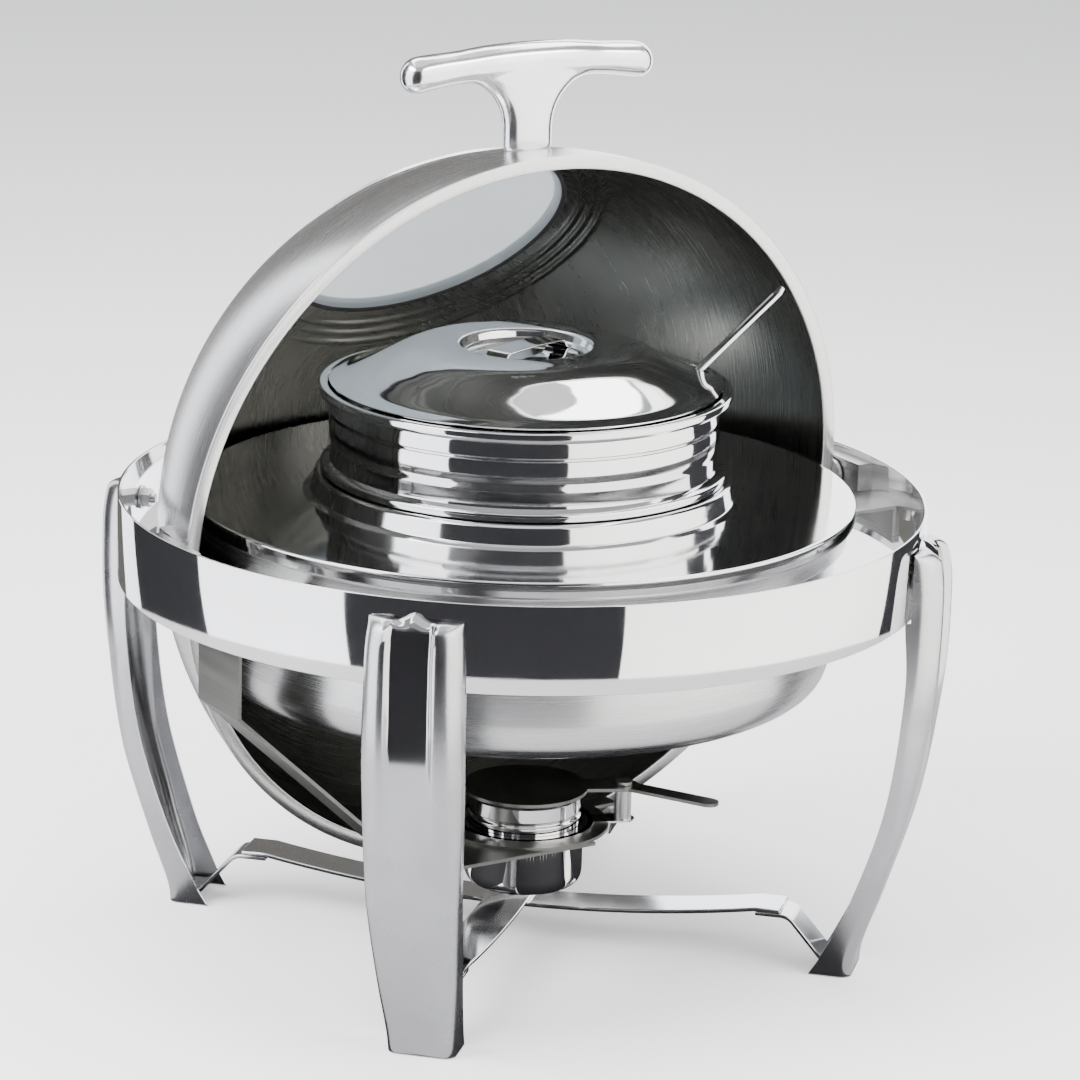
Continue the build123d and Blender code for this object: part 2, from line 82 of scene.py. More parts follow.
class Nodes:
    """A short way to build one material's node tree."""

    def __init__(self, name):
        self.material = bpy.data.materials.new(name)
        self.material.use_nodes = True
        self.tree = self.material.node_tree
        self.shader = self.tree.nodes["Principled BSDF"]

    def add(self, kind, **values):
        node = self.tree.nodes.new(kind)
        for key, value in values.items():
            if hasattr(node, key):
                setattr(node, key, value)
            else:
                node.inputs[key.replace("_", " ").title()].default_value = value
        return node

    def link(self, source, target):
        self.tree.links.new(source, target)

    def set(self, **values):
        for key, value in values.items():
            self.shader.inputs[key.replace("_", " ")].default_value = value

    def coordinates(self, source, scale):
        """Grain coordinates from the mesh, or plain object coordinates, scaled per axis."""
        if source == "grain":
            origin = self.add("ShaderNodeAttribute", attribute_name="grain").outputs["Vector"]
        else:
            origin = self.add("ShaderNodeTexCoord").outputs["Object"]
        mapping = self.add("ShaderNodeMapping")
        mapping.inputs["Scale"].default_value = scale
        self.link(origin, mapping.inputs["Vector"])
        return mapping.outputs["Vector"]

    def noise(self, vector, scale=1.0, detail=3.0, roughness=0.55):
        node = self.add("ShaderNodeTexNoise")
        node.inputs["Scale"].default_value = scale
        node.inputs["Detail"].default_value = detail
        node.inputs["Roughness"].default_value = roughness
        self.link(vector, node.inputs["Vector"])
        return node.outputs["Fac"]

    def spread(self, source, low, high, start=0.3, end=0.7):
        """A factor mapped to a range."""
        node = self.add("ShaderNodeMapRange")
        node.inputs["From Min"].default_value = start
        node.inputs["From Max"].default_value = end
        node.inputs["To Min"].default_value = low
        node.inputs["To Max"].default_value = high
        self.link(source, node.inputs["Value"])
        return node.outputs["Result"]

    def tint(self, source, low, high):
        """A factor mapped between two colours, to the base colour."""
        ramp = self.add("ShaderNodeValToRGB")
        ramp.color_ramp.elements[0].position = 0.3
        ramp.color_ramp.elements[0].color = (*low, 1)
        ramp.color_ramp.elements[1].position = 0.7
        ramp.color_ramp.elements[1].color = (*high, 1)
        self.link(source, ramp.inputs["Fac"])
        self.link(ramp.outputs["Color"], self.shader.inputs["Base Color"])

    def bump(self, source, strength, distance):
        node = self.add("ShaderNodeBump")
        node.inputs["Strength"].default_value = strength
        node.inputs["Distance"].default_value = distance
        self.link(source, node.inputs["Height"])
        previous = self.shader.inputs["Normal"]
        if previous.is_linked:
            self.link(previous.links[0].from_socket, node.inputs["Normal"])
        self.link(node.outputs["Normal"], previous)


def mirror_steel(name, source="grain", tone=0.86, rough=0.035):
    """Polished steel: slow waviness, faint cloudy polish marks, and hairline scratches."""
    n = Nodes(name)
    n.set(Metallic=1.0)
    wide = n.coordinates("object", (1, 1, 1))
    cloud = n.noise(wide, 22.0, 3.0)
    n.tint(cloud, (tone * 0.95, tone * 0.95, tone * 0.955), (tone, tone, tone * 1.01))
    n.link(n.spread(cloud, rough, rough * 2.2), n.shader.inputs["Roughness"])
    hair = n.noise(n.coordinates(source, (3, 3, 2600)), 1.0, 2.0)
    n.bump(hair, 0.05, 0.00005)
    n.bump(n.noise(wide, 9.0, 1.0), 0.10, 0.0006)
    return n.material


def brushed_steel(name, source="grain", low=0.52, high=0.62, rough=(0.24, 0.36), lines=2200,
                  warm=0.0, depth=0.12):
    """Satin steel with fine parallel brush lines along the grain and broad uneven tone."""
    n = Nodes(name)
    n.set(Metallic=1.0, Anisotropic=0.35)
    fine = n.noise(n.coordinates(source, (2.5, 2.5, lines)), 1.0, 4.0, 0.7)
    broad = n.noise(n.coordinates(source, (1.2, 1.2, lines / 40)), 1.0, 2.0)
    mix = n.add("ShaderNodeMath", operation="MULTIPLY_ADD")
    n.link(fine, mix.inputs[0])
    mix.inputs[1].default_value = 0.6
    share = n.add("ShaderNodeMath", operation="MULTIPLY")
    n.link(broad, share.inputs[0])
    share.inputs[1].default_value = 0.4
    n.link(share.outputs[0], mix.inputs[2])
    blend = mix.outputs[0]
    n.tint(blend, (low, low, low * (1 - warm)), (high, high, high * (1 - warm)))
    n.link(n.spread(blend, *rough), n.shader.inputs["Roughness"])
    n.bump(fine, depth, 0.00012)
    return n.material


def leg_steel(name):
    """Satin pressed steel, brushed down the leg, with a brighter polish in the flute."""
    n = Nodes(name)
    n.set(Metallic=1.0)
    fine = n.noise(n.coordinates("grain", (1.5, 1, 1900)), 1.0, 4.0, 0.65)
    cloud = n.noise(n.coordinates("object", (1, 1, 1)), 26.0, 3.0)
    n.tint(cloud, (0.50, 0.50, 0.51), (0.57, 0.57, 0.58))
    marks = n.add("ShaderNodeAttribute", attribute_name="grain")
    parts = n.add("ShaderNodeSeparateXYZ")
    n.link(marks.outputs["Vector"], parts.inputs[0])
    satin = n.spread(cloud, 0.22, 0.30)
    polished = n.spread(cloud, 0.06, 0.09)
    mix = n.add("ShaderNodeMix")
    n.link(parts.outputs["Y"], mix.inputs["Factor"])
    n.link(satin, mix.inputs["A"])
    n.link(polished, mix.inputs["B"])
    n.link(mix.outputs["Result"], n.shader.inputs["Roughness"])
    n.bump(fine, 0.06, 0.0001)
    return n.material


def cast_steel(name):
    """The handle: bright polish over a slightly uneven casting."""
    n = Nodes(name)
    n.set(Metallic=1.0)
    where = n.coordinates("object", (1, 1, 1))
    cloud = n.noise(where, 60.0, 3.0)
    n.tint(cloud, (0.80, 0.80, 0.82), (0.88, 0.88, 0.90))
    n.link(n.spread(cloud, 0.14, 0.20), n.shader.inputs["Roughness"])
    n.bump(n.noise(where, 45.0, 2.0), 0.12, 0.0004)
    return n.material


def pane_glass(name):
    """Clear window glass, barely tinted."""
    n = Nodes(name)
    where = n.coordinates("object", (1, 1, 1))
    haze = n.noise(where, 14.0, 2.0)
    n.tint(haze, (0.70, 0.79, 0.84), (0.78, 0.86, 0.90))
    n.link(n.spread(haze, 0.02, 0.05), n.shader.inputs["Roughness"])
    n.set(IOR=1.45, Alpha=0.45)
    n.set(**{"Coat_Weight": 0.3})
    return n.material


def black_rubber(name):
    """The window's gasket."""
    n = Nodes(name)
    grain = n.noise(n.coordinates("object", (1, 1, 1)), 900.0, 2.0)
    n.tint(grain, (0.012, 0.012, 0.012), (0.03, 0.03, 0.03))
    n.link(n.spread(grain, 0.45, 0.6), n.shader.inputs["Roughness"])
    n.bump(grain, 0.2, 0.00005)
    return n.material


MIRROR = mirror_steel("mirror_polish")
MIRROR_RING = mirror_steel("ring_polish", rough=0.03)
MIRROR_FLAT = mirror_steel("plate_polish", rough=0.05)
LEG_STEEL = leg_steel("leg_polish")
DOME_STEEL = brushed_steel("dome_satin", low=0.56, high=0.64, rough=(0.22, 0.30), lines=1500, depth=0.05)
# Painted shade: the dome's inside is the same satin steel as the outside, darkened because it faces away
# from the lights, with a slight warm tint.
DOME_INSIDE_SHADED = brushed_steel("dome_satin_painted_shade", low=0.19, high=0.235, rough=(0.24, 0.33), lines=1500,
                            warm=0.07, depth=0.04)
RIM_STEEL = brushed_steel("rim_satin", low=0.62, high=0.74, rough=(0.22, 0.34), lines=2600)
PAN_STEEL = brushed_steel("pan_satin", low=0.55, high=0.70, rough=(0.20, 0.32), lines=1800)
SHEET_STEEL = brushed_steel("sheet_mill", source="object", low=0.42, high=0.56,
                            rough=(0.22, 0.36), lines=1400)
STRAP_STEEL = mirror_steel("strap_polish", source="object", tone=0.78, rough=0.07)
FASTENER_STEEL = brushed_steel("fastener_turned", source="object", low=0.45, high=0.62, lines=2200)
# Painted shade: the snuffer cover and fuel hanger under the pan are darkened to stand for the shadow they
# sit in, with a slight warm tint.
UNDERSIDE_SHADE_STEEL = brushed_steel("underside_painted_shade", source="object", low=0.16, high=0.26,
                           rough=(0.25, 0.4), warm=0.08)
LADLE_STEEL = mirror_steel("ladle_polish", source="object", tone=0.84, rough=0.07)
CAST = cast_steel("handle_cast")
GLASS = pane_glass("window_pane")
RUBBER = black_rubber("gasket_black")


# ---------------------------------------------------------------- drawing helpers


def filleted(points, radii, steps=6):
    """An open line with its inner corners rounded. radii is one number or one per corner."""
    if not isinstance(radii, (list, tuple)):
        radii = [radii] * (len(points) - 2)
    line = [points[0]]
    for before, corner, after, radius in zip(points, points[1:], points[2:], radii):
        c = Vector(corner)
        a = (Vector(before) - c)
        b = (Vector(after) - c)
        half = a.angle(b) / 2
        reach = min(radius / max(math.tan(half), 1e-6), a.length * 0.49, b.length * 0.49)
        start = c + a.normalized() * reach
        end = c + b.normalized() * reach
        for i in range(steps + 1):
            t = i / steps
            line.append(tuple(start * (1 - t) ** 2 + c * 2 * t * (1 - t) + end * t * t))
    line.append(points[-1])
    return line


def curved(points, steps=8):
    """A smooth open line through its points (Catmull-Rom)."""
    p = [Vector(q) for q in points]
    p = [p[0] * 2 - p[1]] + p + [p[-1] * 2 - p[-2]]
    line = []
    for a, b, c, d in zip(p, p[1:], p[2:], p[3:]):
        for i in range(steps):
            t = i / steps
            line.append((b * 2 + (c - a) * t + (a * 2 - b * 5 + c * 4 - d) * t * t
                         + (b * 3 - a - c * 3 + d) * t * t * t) / 2)
    return [tuple(q) for q in line] + [tuple(p[-2])]


def thickened(points, thickness):
    """A closed outline: an open line thickened to its left, with mitred corners."""
    moved = []
    last = len(points) - 1
    for i, (x, y) in enumerate(points):
        before = points[max(i - 1, 0)]
        after = points[min(i + 1, last)]
        first = (x - before[0], y - before[1]) if i else (after[0] - x, after[1] - y)
        second = (after[0] - x, after[1] - y) if i < last else first
        a = math.atan2(first[1], first[0])
        half = math.remainder(math.atan2(second[1], second[0]) - a, math.tau) / 2
        reach = thickness / max(math.cos(half), 0.3)
        turn = a + half + math.pi / 2
        moved.append((x + reach * math.cos(turn), y + reach * math.sin(turn)))
    return list(points) + moved[::-1]


def store_grain(mesh, values):
    attribute = mesh.attributes.new("grain", "FLOAT_VECTOR", "POINT")
    attribute.data.foreach_set("vector", [c for v in values for c in v])


def finish_mesh(name, bm, material, body, slot, nodes, matrix=None, grain=None, sharp=32.0):
    """Turn a bmesh in millimetres into a piece that rides on its body."""
    bmesh.ops.recalc_face_normals(bm, faces=bm.faces)
    mesh = bpy.data.meshes.new(name)
    bm.to_mesh(mesh)
    bm.free()
    if grain:
        store_grain(mesh, [grain(v.co) for v in mesh.vertices])
    mesh.transform(Matrix.Scale(MM, 4) @ (matrix or Matrix.Identity(4)))
    mesh.polygons.foreach_set("use_smooth", [True] * len(mesh.polygons))
    mesh.set_sharp_from_angle(angle=math.radians(sharp))
    piece = bpy.data.objects.new(name, mesh)
    bpy.context.scene.collection.objects.link(piece)
    mesh.materials.append(material)
    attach(piece, body)
    if nodes:
        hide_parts(*nodes)
    return piece


def round_grain(co):
    """Brush lines that run round the Z axis."""
    r = math.hypot(co.x, co.y)
    turn = math.atan2(co.y, co.x)
    return (math.cos(turn), math.sin(turn), (r + abs(co.z)) * MM)


def along_grain(axis):
    """Brush lines along one axis: the grain's third number varies across it."""
    def grain(co):
        c = [co.x * MM, co.y * MM, co.z * MM]
        along = c.pop(axis)
        return (along * 12, 0.0, c[0] + c[1])
    return grain


def lathe(bm, outline, segments=ROUND, centre=(0, 0)):
    """Turn a closed outline in (radius, height) round the vertical line at centre."""
    rings = []
    for k in range(segments):
        turn = math.tau * k / segments
        c, s = math.cos(turn), math.sin(turn)
        rings.append([bm.verts.new((centre[0] + r * c, centre[1] + r * s, z)) for r, z in outline])
    count = len(outline)
    for k in range(segments):
        here, there = rings[k], rings[(k + 1) % segments]
        for i in range(count):
            j = (i + 1) % count
            if outline[i][0] < 1e-6 and outline[j][0] < 1e-6:
                continue
            bm.faces.new((here[i], there[i], there[j], here[j]))
    bmesh.ops.remove_doubles(bm, verts=bm.verts, dist=1e-4)
    bmesh.ops.dissolve_degenerate(bm, edges=bm.edges, dist=1e-5)


def turned(name, outline, material, body, slot, nodes, matrix=None, centre=(0, 0), **options):
    bm = bmesh.new()
    lathe(bm, outline, centre=centre)
    return finish_mesh(name, bm, material, body, slot, nodes, matrix, round_grain, **options)


def prism(bm, outline, low, high, place=None):
    """A closed outline in (x, z) run along Y."""
    rows = [[bm.verts.new((x, y, z)) for x, z in outline] for y in (low, high)]
    count = len(outline)
    faces = [bm.faces.new(rows[0][::-1]), bm.faces.new(rows[1])]
    for i in range(count):
        j = (i + 1) % count
        faces.append(bm.faces.new((rows[0][i], rows[0][j], rows[1][j], rows[1][i])))
    if place is not None:
        bmesh.ops.transform(bm, matrix=place, verts=[v for row in rows for v in row])
    return faces


def bevelled(piece, width, segments=2, angle=40.0):
    bevel = piece.modifiers.new("edge", "BEVEL")
    bevel.width = width * MM
    bevel.segments = segments
    bevel.limit_method = "ANGLE"
    bevel.angle_limit = math.radians(angle)
    return piece


def loft(bm, sections, closed=True, caps=True):
    """Join rows of points into a skin."""
    rows = [[bm.verts.new(p) for p in section] for section in sections]
    count = len(rows[0])
    for a, b in zip(rows, rows[1:]):
        for i in range(count if closed else count - 1):
            j = (i + 1) % count
            bm.faces.new((a[i], a[j], b[j], b[i]))
    if caps:
        bm.faces.new(rows[0][::-1])
        bm.faces.new(rows[-1])
    return rows


def turn(angle):
    return Matrix.Rotation(math.radians(angle), 4, "Z")


# ---------------------------------------------------------------- stand


def rounded_bar(r0, r1, z0, z1, radius):
    """A closed rectangle in (radius, height) with rounded corners."""
    outline = []
    for cx, cz, start in ((r1 - radius, z0 + radius, -90), (r1 - radius, z1 - radius, 0),
                          (r0 + radius, z1 - radius, 90), (r0 + radius, z0 + radius, 180)):
        for i in range(4):
            a = math.radians(start + 30 * i)
            outline.append((cx + radius * math.cos(a), cz + radius * math.sin(a)))
    return outline


def band_ring():
    outline = rounded_bar(RING_R - 1.5, RING_R, RING_TOP - 50, RING_TOP, 0.6)
    turned("band_ring_polished", outline, MIRROR_RING, "stand", "mirror_steel", ["band_ring"])


def sampled(points, height):
    """A smooth curve of (value, height) points, read at one height."""
    line = curved(points, 12)
    for (a, za), (b, zb) in zip(line, line[1:]):
        if min(za, zb) <= height <= max(za, zb) and za != zb:
            return a + (b - a) * (height - za) / (zb - za)
    return line[0][0] if abs(height - line[0][1]) < abs(height - line[-1][1]) else line[-1][0]


LEG_OUTER = [(209, 0), (211, 14), (223, 50), (240, 110), (250.3, 180), (252, 232), (250, 254), (247, 262)]
LEG_INNER = [(184, 0), (192, 14), (208, 50), (226, 110), (234, 180), (232, 222)]
LEG_HALF = [(19.5, 0), (25, 70), (28.5, 160), (27.5, 230), (26.5, 254), (24.5, 262)]
FLUTE_HALF = 15.0
FLUTE_DEPTH = 4.0
FLUTE_END = 124.0
FLUTE_FADE = 80.0
FLUTE_SHALLOWEST = 0.1


def flute_distance(t, z):
    """Distance from the flute's middle line, whose lower end is a half circle."""
    return math.hypot(t, max(0, FLUTE_END + FLUTE_HALF - z))


def leg_section(z):
    """The leg's outer skin across one height: wall, rounded corner, lobe, flute, and back."""
    outer = sampled(LEG_OUTER, z)
    half = sampled(LEG_HALF, z)
    inner = sampled(LEG_INNER, z) if z < 221.8 else RING_R + 0.25
    corner = 6.5 + 7.5 * min(max((z - 95) / 60, 0), 1)
    side = [(inner + (outer - corner - inner) * i / 5, half) for i in range(6)]
    for i in range(1, 12):
        a = math.radians(90 - 90 * i / 12)
        side.append((outer - corner + corner * math.cos(a), half - corner + corner * math.sin(a)))
    for i in range(21):
        t = (half - corner) * (1 - i / 20)
        wall = min(max((flute_distance(t, z) - (FLUTE_HALF - 5)) / 5, 0), 1)
        depth = FLUTE_DEPTH * min(max((z - FLUTE_END) / FLUTE_FADE, FLUTE_SHALLOWEST), 1)
        dip = depth * (1 - wall * wall * (3 - 2 * wall))
        side.append((outer - dip, t))
    return [(r, -t, z) for r, t in side] + [(r, t, z) for r, t in side[-2::-1]]


def leg_grain(co):
    """Brush lines down the leg; the second number marks the polished flute."""
    polish = min(max((FLUTE_HALF - flute_distance(co.y, co.z)) / 3, 0), 1)
    return (co.z * MM * 12, polish, (co.x + co.y) * MM)


def leg_cap(section, share):
    """The skin closing over the leg's top towards the band, with the flute's pinched bump."""
    rows = []
    rim = RING_R + 0.3
    for r, t, z in section:
        rise = 5.0 * math.sin(share * math.pi / 2)
        lobe = 1.6 * math.exp(-((abs(t) - 16) / 7) ** 2) * math.sin(share * math.pi)
        bump = 3.6 * math.exp(-(t / 6.0) ** 2) * share
        rows.append((r + (rim - r) * share ** 1.25, t, z + rise + lobe + bump))
    return rows


def leg(name, angle):
    """A pressed leg: its skin drawn as rows up the leg, closed over the top and given its wall."""
    heights = [256.5 * (i / 74) for i in range(75)]
    heights += [221.7, 222.1]
    sections = [leg_section(z) for z in sorted(heights)]
    sections += [leg_cap(sections[-1], s) for s in (0.06, 0.15, 0.28, 0.42, 0.58, 0.74, 0.88, 1.0)]
    bm = bmesh.new()
    loft(bm, sections, closed=False, caps=False)
    bm.normal_update()
    face = max(bm.faces, key=lambda f: f.calc_center_median().x)
    if face.normal.x < 0:
        bmesh.ops.reverse_faces(bm, faces=bm.faces)
    bmesh.ops.solidify(bm, geom=bm.faces[:], thickness=LEG_WALL)
    finish_mesh(f"leg_{name}_pressed", bm, LEG_STEEL, "stand", "polished_leg_steel",
                [f"leg_{name}"], turn(angle), leg_grain, sharp=50)


def leg_bolts():
    """The bolts' ends stop just behind the flutes."""
    bm = bmesh.new()
    for angle in LEG_TURNS.values():
        single = bmesh.new()
        lathe(single, [(0, 224), (2.4, 224), (3, 224.6), (3, 245.4), (2.6, 246), (0, 246)], segments=32)
        place = turn(angle) @ Matrix.Translation((0, 0, 247)) @ Matrix.Rotation(math.radians(90), 4, "Y")
        bmesh.ops.transform(single, matrix=place, verts=single.verts)
        mesh = bpy.data.meshes.new("leg_bolt_part")
        single.to_mesh(mesh)
        single.free()
        bm.from_mesh(mesh)
        bpy.data.meshes.remove(mesh)
    finish_mesh("leg_bolt_shanks", bm, FASTENER_STEEL, "stand", "fastener_steel", ["leg_bolts"])


def brace(name, lift, angle):
    """A flat strap bowed down in the middle, with softened edges."""
    line = [(-165, 33), (-150, 33)]
    for i in range(1, 24):
        x = -150 + 300 * i / 24
        line.append((x, 20 + lift + (13 - lift) * (x / 150) ** 2))
    line += [(150, 33), (165, 33)]
    bm = bmesh.new()
    prism(bm, thickened(line, 2.5), -13, 13)
    piece = finish_mesh(f"{name}_strap", bm, STRAP_STEEL, "stand", "sheet_steel", [name], turn(angle),
                        along_grain(0))
    bevelled(piece, 0.7)


def foot_tabs():
    """The bent tabs that join each leg to the ends of the braces."""
    for name, angle in LEG_TURNS.items():
        line = filleted([(206.5, 4), (192, 4), (169, 30.4), (150, 30.4)], 9)
        bm = bmesh.new()
        prism(bm, thickened(line, -2.5), -12.5, 12.5)
        piece = finish_mesh(f"foot_tab_{name}", bm, STRAP_STEEL, "stand", "sheet_steel", ["foot_tabs"],
                            turn(angle), along_grain(0))
        bevelled(piece, 0.6)


# ---------------------------------------------------------------- roll top lid


def window_matrix():
    """From a frame whose Z runs out through the window to the lid's own frame."""
    a = math.radians(WINDOW_ELEVATION)
    z = Vector((0, -math.cos(a), math.sin(a)))
    x = Vector((1, 0, 0))
    y = z.cross(x)
    turn_in = Matrix((x, y, z)).transposed().to_4x4()
    return Matrix.Translation((0, 0, -SPHERE_DROP)) @ turn_in


def ridge(distance):
    """How far the pressed ridges round the window stand in, by distance from its edge."""
    steps = sum(math.exp(-((distance - at) / 1.9) ** 2) for at in (11.0, 17.5, 24.0))
    return 1.3 * steps


def dome_outline():
    """Half the dome's section about the window's axis, outside and then inside."""
    start = math.degrees(math.asin(WINDOW_R / SPHERE_R))
    angles = [start + 0.22 * i for i in range(40)]
    angles += [angles[-1] + (129 - angles[-1]) * (i + 1) / 90 for i in range(90)]
    outer, inner = [], []
    for angle in angles:
        a = math.radians(angle)
        out = SPHERE_R - ridge((angle - start) * math.radians(1) * SPHERE_R)
        outer.append((out * math.sin(a), out * math.cos(a)))
        inner.append(((out - DOME_WALL) * math.sin(a), (out - DOME_WALL) * math.cos(a)))
    return outer + inner[::-1]


def dome_shell():
    """The dome, spun about the window's axis and cut flat at the lid's rim."""
    bm = bmesh.new()
    lathe(bm, dome_outline())
    bmesh.ops.transform(bm, matrix=window_matrix(), verts=bm.verts)
    everything = bm.verts[:] + bm.edges[:] + bm.faces[:]
    bmesh.ops.bisect_plane(bm, geom=everything, plane_co=(0, 0, 0.2), plane_no=(0, 0, 1), clear_inner=True)
    open_edges = [e for e in bm.edges if e.is_boundary]
    bmesh.ops.bridge_loops(bm, edges=open_edges)
    piece = finish_mesh("dome_shell_spun", bm, DOME_STEEL, "roll_top", "brushed_dome_steel", ["dome_shell"],
                        LID_MATRIX, round_grain)
    # The inward faces take the darkened copy: painted shade on the dome's inside.
    piece.data.materials.append(DOME_INSIDE_SHADED)
    centre = LID_MATRIX @ Vector((0, 0, -SPHERE_DROP)) * MM
    for face in piece.data.polygons:
        if face.normal.dot(face.center - centre) < 0:
            face.material_index = 1


def lid_rim():
    """The strip round the opening, drawn as a flat band with rounded corners rather than folded with a
    rolled outer edge.
    """
    outline = rounded_bar(RIM_R - 7.5, RIM_R + 0.5, -0.7, 1.3, 0.7)
    turned("rim_strip_folded", outline, RIM_STEEL, "roll_top", "brushed_dome_steel",
           ["rim_strip"], LID_MATRIX)


def shell_arc(radius, start, end, count):
    """Points on the sphere in the window's frame, between two distances from its axis."""
    line = []
    for i in range(count):
        r = start + (end - start) * i / (count - 1)
        line.append((r, math.sqrt(radius * radius - r * r)))
    return line


def window():
    """The round pane, its seal and the clamp ring outside."""
    place = LID_MATRIX @ window_matrix()
    pane = shell_arc(SPHERE_R, 0, 85.4, 16) + shell_arc(SPHERE_R - 2.8, 85.4, 0, 16)
    turned("window_pane", pane, GLASS, "roll_top", "window_glass", ["window_glass"], place)
    seal = filleted(shell_arc(SPHERE_R - 3.1, 85.2, 88.2, 2) + shell_arc(SPHERE_R + 0.1, 88.2, 85.2, 2), 0.8)
    turned("window_seal", seal, RUBBER, "roll_top", "gasket_rubber", ["window_gasket"], place)
    low = shell_arc(SPHERE_R + 0.1, 82, 96, 6)
    high = shell_arc(SPHERE_R + 1.5, 95, 83, 6)
    turned("window_clamp_ring", low + high, RIM_STEEL, "roll_top", "brushed_dome_steel",
           ["window_bezel"], place)


def handle_matrix():
    """From a frame whose Z runs out along the handle's stem to the lid's own frame."""
    a = math.radians(HANDLE_ELEVATION)
    z = Vector((0, -math.cos(a), math.sin(a)))
    x = Vector((1, 0, 0))
    return LID_MATRIX @ Matrix((x, z.cross(x), z)).transposed().to_4x4()


def oval(cx, cy, cz, half_a, half_b, across, count=40, power=2.4):
    """A rounded section: across picks the plane, 'z' for the stem or 'x' for the bar."""
    points = []
    for i in range(count):
        t = math.tau * i / count
        c, s = math.cos(t), math.sin(t)
        u = half_a * math.copysign(abs(c) ** (2 / power), c)
        v = half_b * math.copysign(abs(s) ** (2 / power), s)
        points.append((cx + u, cy + v, cz) if across == "z" else (cx, cy + u, cz + v))
    return points


def t_handle():
    """The cast T: an arched crossbar and a stem with large fillets, fused and smoothed."""
    bm = bmesh.new()
    stem = []
    for i in range(31):
        rho = 215.3 + (263 - 215.3) * i / 30
        lean = min(max((rho - 228) / 30, 0), 1)
        half = 15.5 + 30.0 * (1 - math.sqrt(1 - lean * lean))
        stem.append(oval(0, 0, rho, half, 7.2 + 2.0 * lean, "z", power=2.4))
    loft(bm, stem)
    bar = []
    for i in range(121):
        x = -82.5 * math.cos(math.pi * i / 120)
        near_end = max(0, (abs(x) - 72.5) / 10.02)
        size = 10.5 - 1.0 * math.exp(-((abs(x) - 48) / 16) ** 2)
        size *= math.sqrt(max(1 - near_end * near_end, 0.01))
        bar.append(oval(x, 0, 267.4 - 5.5 * (x / 82.5) ** 2, size, size, "x", power=2.1))
    loft(bm, bar)
    piece = finish_mesh("t_handle_cast", bm, CAST, "roll_top", "cast_handle_steel", ["t_handle"],
                        handle_matrix(), sharp=180)
    fuse = piece.modifiers.new("fuse", "REMESH")
    fuse.mode = "VOXEL"
    fuse.voxel_size = 1.1 * MM
    fuse.use_smooth_shade = True
    soften = piece.modifiers.new("soften", "SMOOTH")
    soften.factor = 0.5
    soften.iterations = 22


# ---------------------------------------------------------------- pans, pot and lid


def water_pan():
    """A deep drawn pan with a stepped rim."""
    wall = filleted([(0, PAN_LOW), (PAN_R, PAN_LOW), (PAN_R, 250)], 25, 10)
    step = [(PAN_R, 250.2), (PAN_R + 0.4, 251.2), (189.2, 251.2), (190.2, 262.6), (192, 263)]
    line = wall + filleted(step, 1.2, 3)
    turned("water_pan_drawn", thickened(line, 1.0), PAN_STEEL, "water_pan", "brushed_pan_steel",
           ["water_pan"])


def cover_plate():
    """The polished plate over the pan, with the raised collar round the pot."""
    line = filleted([(193.6, 264.4), (194, 268), (194, 273), (190, 272.8), (150, 272.3), (128, 272.2),
                     (123, 273.2), (121.4, 283), (119.6, 284.5), (115, 284.5)], 1.8, 4)
    turned("cover_plate_polished", thickened(line, 1.0), MIRROR_FLAT, "cover_plate", "mirror_steel",
           ["cover_plate"])


def soup_pot():
    """The pot: rolled rim, beaded neck, the ledge it rests on, and its floor."""
    top = POT_RIM_Z
    rolled = [(119.2, top - 5.5), (120, top - 4), (120, top - 0.2), (114.8, top - 0.2), (112.6, top - 4)]
    rim = filleted(rolled, 1.7, 4)
    neck = curved([(111.6, top - 8), (112.0, top - 12), (112.5, top - 16.2)], 4)
    neck += curved([(111.9, top - 17.6), (112.5, top - 25), (112.2, top - 32.6)], 4)
    neck += curved([(111.5, top - 34.2), (111.6, top - 43), (112, top - 48)], 4)
    ledge = [(113, 290.6), (117.2, 289), (117.2, 285.9), (112.6, 285.9), (112, 281), (112, 230)]
    seat = filleted(ledge, 1.2, 3)
    floor = filleted([(112, 230), (112, 212), (96, 212)], 16, 8)
    line = rim + neck + seat[:-1] + floor + [(0, 212)]
    turned("soup_pot_polished", thickened(line, 1.0), MIRROR, "soup_pot", "mirror_steel", ["soup_pot"])


NOTCH = Vector((104.3, -25.4, 341.0))
LADLE_AXIS = Vector((0.698, -0.196, 0.689)).normalized()
LADLE_BELOW = 150
LADLE_ABOVE = 67


def pot_lid():
    """The pot's lid, dished in the middle, with a notch for the ladle."""
    crown = [(110, 338.3), (104, 340.0), (94, 344.4), (83, 350.0), (73, 355.0), (65, 358.0), (57, 359.2)]
    rise = curved(crown, 6)
    dish = filleted([(42, 359.4), (39, 359.0), (37, 354.2), (30, 353), (0, 353)], 1.8, 4)
    outline = thickened([(113.5, 337.4), (112, 337.8)] + rise + dish, -1.0)
    bm = bmesh.new()
    lathe(bm, outline, segments=288)
    notch_turn = math.atan2(NOTCH.y, NOTCH.x)
    cut = [v for v in bm.verts
           if math.hypot(v.co.x, v.co.y) > 99
           and abs(math.remainder(math.atan2(v.co.y, v.co.x) - notch_turn, math.tau)) < 7.6 / 107]
    bmesh.ops.delete(bm, geom=cut, context="VERTS")
    bmesh.ops.holes_fill(bm, edges=[e for e in bm.edges if e.is_boundary])
    finish_mesh("pot_lid_polished", bm, MIRROR, "pot_lid", "mirror_steel", ["pot_lid"], None, round_grain)


def lid_grip():
    """A pressed bar across the lid's recess."""
    bm = bmesh.new()
    bent = [(-32, 354.3), (-28, 354.3), (-25, 358.6), (0, 359.4), (25, 358.6), (28, 354.3), (32, 354.3)]
    line = filleted(bent, 3)
    prism(bm, thickened(line, 1.2), -8, 8)
    piece = finish_mesh("lid_grip_bar", bm, MIRROR, "pot_lid", "mirror_steel", ["lid_grip"], turn(20),
                        along_grain(0))
    bevelled(piece, 0.5)


